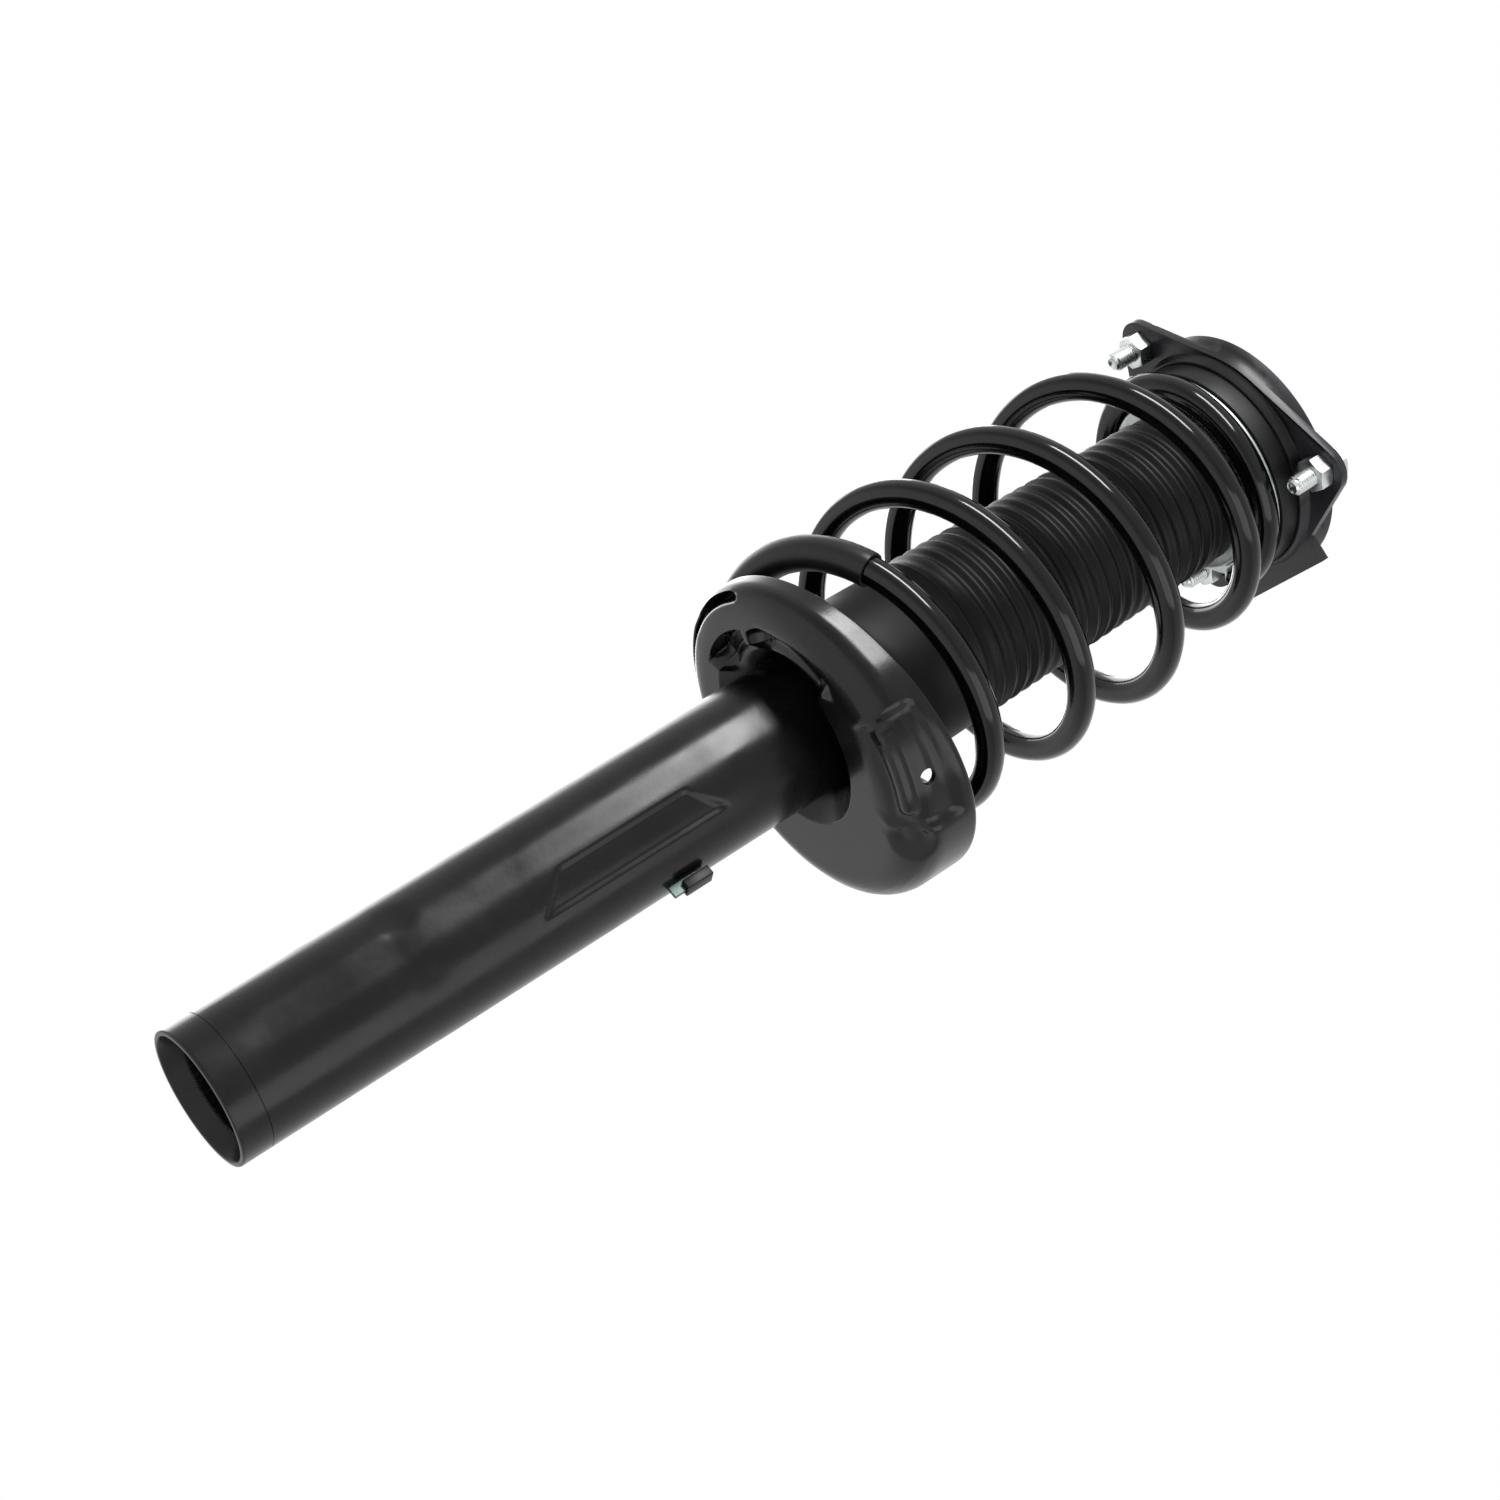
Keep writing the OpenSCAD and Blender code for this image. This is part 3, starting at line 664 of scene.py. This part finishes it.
@dataclass
class LowerSeat:
    """The pressed lower spring seat: an off-centre pan with a spiral rim, drawn up round the tube."""

    radius: float = 68.7
    sheet: float = 2.2
    shift: float = -8.0
    fold: float = 15.0
    recess: float = 40.0
    rim_height: float = 23.5
    rim_drop: float = 0.14
    collar_inner: float = 27.65
    collar_height: float = 20.0
    ramp_top: float = 19.4
    ramp_slope: float = 0.26
    lowest_rim: float = 12.5
    evening: float = 0.35
    mesh_steps: int = 300
    panel_start: float = 93.0
    panel_end: float = 140.0
    panel_depth: float = 3.2
    rib_place: float = 9.5
    rib_half: float = 6.5
    rib_height: float = 3.4
    notch_angle: float = 144.0
    notch_half: float = 9.0
    notch_depth: float = 3.6
    drain_angle: float = 126.0
    drain_radius: float = 3.2
    drain_height: float = 14.0
    floor: float = field(init=False)

    def __post_init__(self) -> None:
        """Take the underside's height from the frame."""
        self.floor = box_mm("lower_seat")[0].z

    def outline(self) -> list[Point]:
        """Return the closed section of the pan, the recess and the collar."""
        low, t = self.floor, self.sheet
        corners = [(self.collar_inner, low + self.collar_height, 0.5),
                   (self.collar_inner, low + 13.5, 2.0),
                   (self.recess - 1.0, low, 0.9),
                   (self.radius, low, self.fold),
                   (self.radius, low + self.rim_height, 0.9),
                   (self.radius - t, low + self.rim_height, 0.9),
                   (self.radius - t, low + t, self.fold - t),
                   (self.recess + 1.0, low + t, 1.6),
                   (self.collar_inner + t, low + 15.0, 1.5),
                   (self.collar_inner + t, low + self.collar_height, 0.5)]
        return dense(rounded(corners, 9), 1.3)

    def rim(self, angle: float) -> float:
        """Return the rim's height above the floor at an angle in degrees round the pan."""
        x, y = self.radius * math.cos(math.radians(angle)), self.radius * math.sin(math.radians(angle))
        slanted = self.rim_height - self.rim_drop * x
        under_coil = self.ramp_top + self.ramp_slope * y
        share = smooth((angle + 78) / 16) * (1 - smooth((angle - 10) / 14))
        return max(self.lowest_rim, slanted + min(0.0, under_coil - slanted) * share)

    def relief(self, angle: float, along: float) -> float:
        """Return how far the outer wall is pressed inwards.

        Args:
            angle: degrees round the pan.
            along: distance along the section, from where the fold leaves the underside.

        Returns:
            The depth, in millimetres, which is negative where the wall stands proud.
        """
        wall_top = self.fold * math.pi / 2 + self.rim(angle) - self.fold
        ends = min(angle - self.panel_start, self.panel_end - angle)
        panel = self.panel_depth * smooth(ends / 4) * smooth((along + 2) / 4) * smooth((wall_top - 4 - along) / 5)
        rib_ends = smooth((angle - self.panel_start - 5) / 4) * smooth((self.panel_end - 6 - angle) / 4)
        rib = self.rib_height * rib_ends * (1 - smooth(abs(along - self.rib_place) / self.rib_half))
        across = math.hypot((angle - self.notch_angle) / self.notch_half, (along - 10) / 11)
        notch = self.notch_depth * (1 - smooth((across - 0.45) / 0.55))
        return panel - rib + notch

    def hollow(self, angle: float, reach: float) -> float:
        """Return how far the underside is pressed up outside the recess, in millimetres."""
        start = smooth((reach - 33) / 7)
        arch = 8 * (1 - smooth((abs(angle + 4) - 15) / 10)) * (1 - smooth((reach - 45) / 4))
        slope = 8 * smooth((angle - 24) / 8) * (1 - smooth((angle - 74) / 12)) * (1 - smooth((reach - 42) / 15))
        return start * max(arch, slope)

    def form(self, bm: bmesh.types.BMesh) -> None:
        """Move the pan off centre, slant its rim, raise its ramp and press its relief.

        Args:
            bm: the spun seat.
        """
        hinge = self.fold + 0.5
        turn_centre = self.radius - self.fold
        for vert in bm.verts:
            reach = math.hypot(vert.co.x, vert.co.y)
            angle = math.degrees(math.atan2(vert.co.y, vert.co.x))
            height = vert.co.z - self.floor
            rim = self.rim(angle)
            if rim < self.rim_height and reach > turn_centre - 4:
                height *= 1 + (rim / self.rim_height - 1) * smooth((reach - turn_centre + 4) / 5)
            elif reach > self.radius - self.sheet - 0.2 and height > hinge:
                height = hinge + (height - hinge) / (self.rim_height - hinge) * (rim - hinge)
            lean = 0.0 if reach < turn_centre else math.pi / 2
            if reach > turn_centre and height < self.fold:
                lean = math.atan2(reach - turn_centre, self.fold - height)
            along = self.fold * lean + max(0.0, height - self.fold)
            press = self.relief(angle, along) * smooth((reach - turn_centre + 4) / 5)
            moved, rise = reach - press * math.sin(lean), height + press * math.cos(lean)
            if reach < turn_centre + 2 and height < self.collar_height - 5:
                rise += self.hollow(angle, reach) * (1 - smooth((height - 4) / 9))
            if self.recess + 6 < reach < self.radius - self.sheet - 0.3 and height > self.sheet - 0.1:
                ramp = self.ramp_top + self.ramp_slope * vert.co.y
                share = smooth((angle + 72) / 20) * (1 - smooth((angle - 8) / 12)) * smooth((reach - 48) / 5)
                rise = max(rise, self.sheet + (ramp - self.sheet) * share)
            off = self.shift * smooth((reach - self.recess - 2) / 14)
            vert.co = (vert.co.x * moved / reach + off, vert.co.y * moved / reach,
                       self.floor + rise)

    def build(self) -> None:
        """Build and dress the seat."""
        bm = revolve(self.outline(), steps=self.mesh_steps)
        self.form(bm)
        bmesh.ops.smooth_vert(bm, verts=bm.verts, factor=self.evening, use_axis_x=True,
                              use_axis_y=True, use_axis_z=True)
        drill = bmesh.new()
        bmesh.ops.create_cone(drill, cap_ends=True, segments=40, radius1=self.drain_radius,
                              radius2=self.drain_radius, depth=40)
        place = (Matrix.Rotation(math.radians(self.drain_angle), 4, "Z")
                 @ Matrix.Translation((self.radius + 4, 0, self.floor + self.drain_height))
                 @ Matrix.Rotation(math.pi / 2, 4, "Y"))
        drill.transform(place)
        finish_piece("lower_spring_seat", cut(bm, drill), SEAT_COAT, Body.DAMPER, ["lower_seat"],
                     crease=48)


# ------------------------------------------------------------------ spring


@dataclass
class Spring:
    """The tilted coil spring and the hose on its lowest coil."""

    wire: float = 5.65
    hose: float = 7.0
    mean_radius: float = 60.4
    low_shrink: float = 2.9
    small_radius: float = 44.0
    turns: float = 4.0
    tail: float = -0.46
    head: float = 4.52
    hose_end: float = 0.152
    lead: float = 292.8
    sag: float = -1.9
    tilt: float = 7.4
    centre: Point = (1.3, 4.2)
    steps_per_turn: int = 96
    squash_keep: float = 0.4984
    seat_floor: float = field(init=False)
    top: float = field(init=False)

    def __post_init__(self) -> None:
        """Take the seat's floor and the wire's highest centre from the frame."""
        self.seat_floor = box_mm("lower_seat")[0].z + 2.2
        self.top = box_mm("coil_spring")[1].z - self.wire

    def height(self, turn: float) -> float:
        """Return the height of the wire's centre at a turn."""
        pitch = (self.top - self.lead) / self.turns
        wave = self.sag * math.sin(math.radians(60 * turn)) + self.tilt * math.sin(FULL_TURN * turn)
        free = max(self.seat_floor + self.hose + 0.05, self.lead + pitch * turn + wave)
        flat = smooth((turn - self.turns + 0.5) / 0.5)
        return min(self.top, free * (1 - flat) + self.top * flat)

    def at(self, turn: float) -> Vector:
        """Return the wire's centre at a turn, counted from the +X side."""
        closing = smooth(turn - self.turns + 1)
        radius = self.mean_radius - self.low_shrink * (1 - min(1.0, max(0.0, turn)))
        radius -= (self.mean_radius - self.small_radius) * closing
        angle = FULL_TURN * turn
        return Vector((self.centre[0] * (1 - closing) + radius * math.cos(angle),
                       self.centre[1] * (1 - closing) + radius * math.sin(angle),
                       self.height(turn)))

    def sweep(self, radius: float, start: float, end: float, capped: bool) -> bmesh.types.BMesh:
        """Sweep a round section along the coil.

        Args:
            radius: radius of the section.
            start: first turn.
            end: last turn.
            capped: whether the ends are closed.

        Returns:
            The swept shape.
        """
        curve = bpy.data.curves.new("coil", "CURVE")
        curve.dimensions = "3D"
        curve.bevel_depth = radius
        curve.bevel_resolution = 6
        curve.use_fill_caps = capped
        curve.twist_mode = "Z_UP"
        count = round((end - start) * self.steps_per_turn)
        spline = curve.splines.new("POLY")
        spline.points.add(count)
        for k, point in enumerate(spline.points):
            point.co = (*self.at(start + (end - start) * k / count), 1)
        obj = bpy.data.objects.new("coil", curve)
        bpy.context.scene.collection.objects.link(obj)
        bm = settle(obj)
        bmesh.ops.remove_doubles(bm, verts=bm.verts, dist=1e-3)
        return bm

    def build(self) -> None:
        """Build and dress the spring and its hose."""
        wire = self.sweep(self.wire, self.tail, self.head, True)
        face_outwards(wire)
        coil = finish_piece("coil", soften(wire, 0.7, 2, 60), SPRING_COAT, Body.DAMPER,
                            ["coil_spring"])
        shell = self.sweep(self.hose, self.tail + 0.004, self.hose_end, False)
        face_outwards(shell)
        bmesh.ops.solidify(shell, geom=shell.faces, thickness=self.hose - self.wire - 0.06)
        face_outwards(shell)
        hose = finish_piece("coil_hose", soften(shell, 0.35, 2, 60), SLEEVE_HOSE, Body.DAMPER,
                            ["coil_sleeve"])
        for piece in (coil, hose):
            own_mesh(piece)


# ------------------------------------------------------------------ boot, bump stop and upper plate


@dataclass
class DustBoot:
    """The dust boot, with a smooth lower cuff, two steps and shallow folds above."""

    wall: float = 1.2
    folds: int = 19
    fold_depth: float = 1.7
    first_fold: float = 345.0
    step_heights: tuple[float, float] = (337.6, 344.0)
    taper: float = 3.9
    top_plain: float = 8.0
    squash_keep: float = 0.417
    low: Vector = field(init=False)
    high: Vector = field(init=False)

    def __post_init__(self) -> None:
        """Take the boot's height and radius from the frame."""
        self.low, self.high = box_mm("dust_boot")

    def crest(self, z: float) -> float:
        """Return the boot's largest radius at a height."""
        share = (z - self.low.z) / (self.high.z - self.low.z)
        return self.high.x - 0.1 - self.taper * share

    def outside(self) -> list[Point]:
        """Return the outer side of the boot's section, from its open rim to its top."""
        rim, (step, second) = self.low.z, self.step_heights
        points = [(self.crest(rim) + 0.0, rim), (self.crest(rim) + 0.05, rim + 1.6),
                  (self.crest(rim) - 0.9, rim + 2.6), (self.crest(rim + 8) - 0.5, rim + 8),
                  (self.crest(step) - 0.5, step - 0.8), (self.crest(step), step - 0.3),
                  (self.crest(step), step + 0.5), (self.crest(step) - 1.0, step + 1.0),
                  (self.crest(second) - 1.0, second - 0.6)]
        last = self.high.z - self.top_plain
        pitch = (last - self.first_fold) / self.folds
        per_fold = 10
        for k in range(self.folds * per_fold + 1):
            z = self.first_fold + k * pitch / per_fold
            wave = abs(math.cos(math.pi * k / per_fold)) ** 2.2
            points.append((self.crest(z) - self.fold_depth * (1 - wave), z))
        return points + [(self.crest(last) - 0.8, last + 1), (self.crest(last) - 0.8, self.high.z)]

    def build(self) -> None:
        """Build and dress the boot."""
        outer = self.outside()
        inner = [(r - self.wall, z) for r, z in reversed(outer)]
        boot = finish_piece("dust_bellows", revolve(outer + inner, 144), BOOT_SKIN, Body.SPRING_TOP,
                            ["dust_boot"], crease=70)
        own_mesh(boot)


@dataclass
class BumpStop:
    """The foam bump stop inside the boot, with rounded waists."""

    bore: float = 11.6
    waists: int = 3
    waist_depth: float = 4.0
    squash_keep: float = 0.76

    def build(self) -> None:
        """Build and dress the bump stop."""
        low, high = box_mm("bump_stop")
        outer: list[Point] = []
        rows = 16 * self.waists
        for k in range(rows + 1):
            share = k / rows
            taper = 5 * (1 - smooth(share * 2.4))
            wave = self.waist_depth * (0.5 - 0.5 * math.cos(FULL_TURN * self.waists * share))
            outer.append((high.x - taper - wave * (1 - share * 0.3),
                          low.z + share * (high.z - low.z)))
        bm = revolve(outer + [(self.bore, high.z), (self.bore, low.z)], 96)
        stop = finish_piece("foam_bump_stop", bm, CELL_FOAM, Body.SPRING_TOP, ["bump_stop"],
                            crease=60)
        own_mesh(stop)


@dataclass
class UpperPlate:
    """The zinc-plated upper spring plate: a pressed hub and a flat rim with a rolled edge."""

    sheet: float = 1.8
    hub_radius: float = 37.45
    hub_hole: float = 25.0

    def build(self) -> None:
        """Build and dress the plate."""
        low, high = box_mm("upper_plate")
        edge, rim, hub, t = high.x, high.z - self.sheet, self.hub_radius, self.sheet
        corners = [(self.hub_hole, low.z, 0.4), (hub, low.z, 2.2), (hub, rim, 0.8),
                   (edge, rim, 0.7),
                   (edge, high.z, 0.7), (hub - t, high.z, 1.6), (hub - t, low.z + t, 0.8),
                   (self.hub_hole, low.z + t, 0.4)]
        bm = revolve(rounded(corners), 144)
        finish_piece("upper_spring_plate", bm, ZINC, Body.SPRING_TOP, ["upper_plate"], crease=60)


# ------------------------------------------------------------------ top mount


@dataclass
class TopMount:
    """The stamped top mount and the bearing housing under it."""

    edge: float = 1.1
    housing_edge: float = 0.5

    def build(self) -> None:
        """Round the stamping's edges and dress it and its housing."""
        plate = soften(copy_of_node("mount_plate"), self.edge, 4, 30)
        finish_piece("top_mount_stamping", plate, MOUNT_COAT, Body.ROD, ["mount_plate"])
        housing = soften(copy_of_node("upper_race"), self.housing_edge, 3, 30)
        finish_piece("bearing_housing", housing, NYLON, Body.ROD, ["upper_race"])


@dataclass
class Thread:
    """A helical screw thread round the Z axis."""

    radius: float
    pitch: float
    bottom: float
    top: float
    steps: int = 28

    def add_to(self, bm: bmesh.types.BMesh) -> None:
        """Wind the thread's ridge, as one closed helical wedge, into a shape.

        Args:
            bm: the shape that gets the thread.
        """
        depth = 0.61 * self.pitch
        half = self.pitch * 0.44
        turns = (self.top - self.bottom) / self.pitch
        count = math.ceil(turns * self.steps)
        ridge = bmesh.new()
        section = [(self.radius - depth, -half), (self.radius, -half * 0.14),
                   (self.radius, half * 0.14),
                   (self.radius - depth, half)]
        verts = [ridge.verts.new((r, 0, self.bottom + z)) for r, z in section]
        face = ridge.faces.new(verts)
        made = bmesh.ops.spin(ridge, geom=[face], cent=(0, 0, 0), axis=(0, 0, 1),
                              angle=FULL_TURN * turns,
                              steps=count, dvec=(0, 0, self.pitch * turns / count))
        LOG.debug("thread of %d faces", len(made["geom_last"]))
        face_outwards(ridge)
        join(bm, ridge)


@dataclass
class HexNut:
    """A chamfered hexagon, used for nuts and bolt heads."""

    across_flats: float
    height: float

    def shape(self) -> bmesh.types.BMesh:
        """Return the hexagon standing on z = 0, with turned chamfers at both ends."""
        corner = self.across_flats / math.sqrt(3)
        prism = bmesh.new()
        bmesh.ops.create_cone(prism, cap_ends=True, segments=6, radius1=corner, radius2=corner,
                              depth=self.height)
        bmesh.ops.translate(prism, vec=(0, 0, self.height / 2), verts=prism.verts)
        bmesh.ops.rotate(prism, cent=(0, 0, 0), matrix=Matrix.Rotation(math.radians(17), 3, "Z"),
                         verts=prism.verts)
        flat, drop = self.across_flats / 2 * 0.96, (corner - self.across_flats / 2) * 0.62
        turned = revolve([(0, 0), (flat, 0), (corner + 0.2, drop),
                          (corner + 0.2, self.height - drop),
                          (flat, self.height), (0, self.height)], 72)
        return cut(prism, turned, "INTERSECT")


@dataclass
class TowerFasteners:
    """The three tower bolts, with threaded tails, and their nuts."""

    shank: float = 4.0
    pitch: float = 1.25
    angles: tuple[float, ...] = (-6.5, 113.5, 233.5)
    pitch_radius: float = 58.5
    head_height: float = 5.28
    nut_flats: float = 13.0
    thread_length: float = 16.0

    def place(self, angle: float) -> Matrix:
        """Return the place of a bolt's axis at an angle in degrees."""
        return Matrix.Rotation(math.radians(angle), 4,
                               "Z") @ Matrix.Translation((self.pitch_radius, 0, 0))

    def bolt(self, low: float, high: float) -> bmesh.types.BMesh:
        """Return one bolt on the Z axis.

        Args:
            low: height of its tip.
            high: height of its head's top.

        Returns:
            The bolt's shape.
        """
        r, root = self.shank, self.shank - 0.61 * self.pitch
        start = high - self.head_height
        plain = low + self.thread_length
        # the tip is chamfered and dished, as a rolled thread leaves it
        shaft = revolve([(0, low + 1.0), (1.6, low + 0.7), (2.6, low), (root, low + 0.9),
                         (root, plain),
                         (r, plain + 0.7), (r, start + 0.2), (0, start + 0.2)], 48)
        Thread(r, self.pitch, low + 1.3, plain).add_to(shaft)
        join(shaft, HexNut(self.nut_flats, self.head_height).shape(),
             Matrix.Translation((0, 0, start)))
        return shaft

    def build(self) -> None:
        """Build and dress the bolts and nuts."""
        low, high = box_mm("tower_bolts")
        nut_low, nut_high = box_mm("tower_nuts")
        bolts, nuts = bmesh.new(), bmesh.new()
        for angle in self.angles:
            join(bolts, self.bolt(low.z, high.z), self.place(angle))
            nut = HexNut(self.nut_flats, nut_high.z - nut_low.z).shape()
            bore = bmesh.new()
            bmesh.ops.create_cone(bore, cap_ends=True, segments=48, radius1=self.shank + 0.02,
                                  radius2=self.shank + 0.02, depth=40)
            nut = soften(cut(nut, bore), 0.22, 2, 40)
            join(nuts, nut, self.place(angle) @ Matrix.Translation((0, 0, nut_low.z)))
        finish_piece("mount_studs", bolts, ZINC_FASTENER, Body.ROD, ["tower_bolts"], crease=28)
        finish_piece("mount_stud_nuts", nuts, ZINC_FASTENER, Body.ROD, ["tower_nuts"], crease=28)


@dataclass
class RodNut:
    """The nut that clamps the mount to the piston rod."""

    across_flats: float = 22.0
    bore: float = 7.02

    def build(self) -> None:
        """Build and dress the nut."""
        low, high = box_mm("rod_nut")
        bore = bmesh.new()
        bmesh.ops.create_cone(bore, cap_ends=True, segments=64, radius1=self.bore,
                              radius2=self.bore, depth=80)
        nut = soften(cut(HexNut(self.across_flats, high.z - low.z).shape(), bore), 0.3, 2, 40)
        bmesh.ops.translate(nut, vec=(0, 0, low.z), verts=nut.verts)
        finish_piece("piston_rod_nut", nut, ZINC_FASTENER, Body.ROD, ["rod_nut"], crease=28)


# ------------------------------------------------------------------ studio


@dataclass
class Studio:
    """A pale floor, soft lamps, a white surround and the camera."""

    camera_place: tuple[float, float, float] = (0.001888, 1.069149, -0.247436)
    camera_right: tuple[float, float, float] = (-0.52827411, 0.35738778, 0.77019507)
    camera_back: tuple[float, float, float] = (0.0, 0.90710017, -0.42091482)
    lens: float = 74.67
    sensor: float = 36.0
    floor_level: float = -0.6
    surround: float = 0.8

    def camera(self) -> None:
        """Place the camera in front of the strut, below its lower end and rolled to one side."""
        data = bpy.data.cameras.new("camera")
        data.lens = self.lens
        data.sensor_width = self.sensor
        data.clip_start = 0.01
        data.clip_end = 50
        camera = bpy.data.objects.new("camera", data)
        right = Vector(self.camera_right).normalized()
        back = Vector(self.camera_back).normalized()
        turn = Matrix((right, back.cross(right), back)).transposed().to_4x4()
        camera.matrix_world = Matrix.Translation(self.camera_place) @ turn
        bpy.context.scene.collection.objects.link(camera)
        bpy.context.scene.camera = camera

    def lamp(self, name: str, place: Sequence[float], size: Sequence[float], power: float) -> None:
        """Add a soft box that faces the middle of the strut.

        Args:
            name: the lamp's name.
            place: its centre, in metres.
            size: its width and its length along the strut, in metres.
            power: its power in watts.
        """
        data = bpy.data.lights.new(name, "AREA")
        data.shape = "RECTANGLE"
        data.size = size[0]
        data.size_y = size[1]
        data.energy = power
        obj = bpy.data.objects.new(name, data)
        obj.location = place
        aim = Vector((0, 0, 0.3)) - Vector(place)
        obj.rotation_mode = "QUATERNION"
        obj.rotation_quaternion = aim.to_track_quat("-Z", "Y")
        bpy.context.scene.collection.objects.link(obj)

    def world(self) -> None:
        """Make the surround white to the eye and in reflections, and dimmer as a source of light."""
        world = bpy.data.worlds.new("surround")
        bpy.context.scene.world = world
        world.use_nodes = True
        tree = world.node_tree
        tree.nodes.clear()
        rays = add_node(tree, "ShaderNodeLightPath").outputs
        eye = add_node(tree, "ShaderNodeMath", {"operation": "MAXIMUM"},
                       {0: rays["Is Camera Ray"], 1: rays["Is Glossy Ray"]})
        seen = add_node(tree, "ShaderNodeMath", {"operation": "MAXIMUM"},
                        {0: eye.outputs[0], 1: rays["Is Transmission Ray"]})
        level = add_node(tree, "ShaderNodeMapRange", {"To Min": self.surround, "To Max": 1.0},
                         {"Value": seen.outputs[0]})
        back = add_node(tree, "ShaderNodeBackground", {"Color": linear("ffffff")},
                        {"Strength": level.outputs[0]})
        add_node(tree, "ShaderNodeOutputWorld", None, {"Surface": back.outputs[0]})

    def floor(self) -> None:
        """Add the plain pale floor, well below the strut."""
        bm = bmesh.new()
        bmesh.ops.create_grid(bm, x_segments=4, y_segments=4, size=30000)
        bmesh.ops.translate(bm, vec=(0, 0, self.floor_level / MM), verts=bm.verts)
        bmesh.ops.scale(bm, vec=(MM,) * 3, verts=bm.verts)
        obj = plain_object("floor", bm)
        card = Finish("studio_card", "", "f4f4f4", "f8f8f8", Surface.MOULDED, 4.0, 0.9,
                      bump_mm=0.001)
        obj.data.materials.append(card.build())

    def build(self) -> None:
        """Build the studio."""
        bpy.context.scene.view_settings.view_transform = "Standard"
        self.world()
        self.floor()
        self.lamp("key", (0.95, 1.05, 0.95), (1.2, 0.24), 32)
        self.lamp("fill", (-1.1, 0.9, 0.2), (0.9, 1.2), 7)
        self.lamp("back", (0.6, -1.3, 0.8), (1.2, 1.2), 14)
        self.camera()


# ------------------------------------------------------------------ assembly


def dress_nodes() -> None:
    """Give every CAD node that is still shown its procedural finish."""
    for name, finish in NODE_FINISHES.items():
        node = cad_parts[name]
        node.data.materials.clear()
        node.data.materials.append(finish.build())
        LOG.info("%s: CAD shape, %s", name, finish.name)


def main() -> None:
    """Build every sub-assembly in order and report each piece."""
    logging.basicConfig(level=logging.INFO, format="%(name)s %(message)s")
    Studio().build()
    assemblies = [DamperTube(), LineClip(), LowerSeat(), Spring(), DustBoot(), BumpStop(),
                  UpperPlate(),
                  TopMount(), TowerFasteners(), RodNut()]
    for assembly in assemblies:
        assembly.build()
    dress_nodes()


if __name__ == "__main__":
    main()
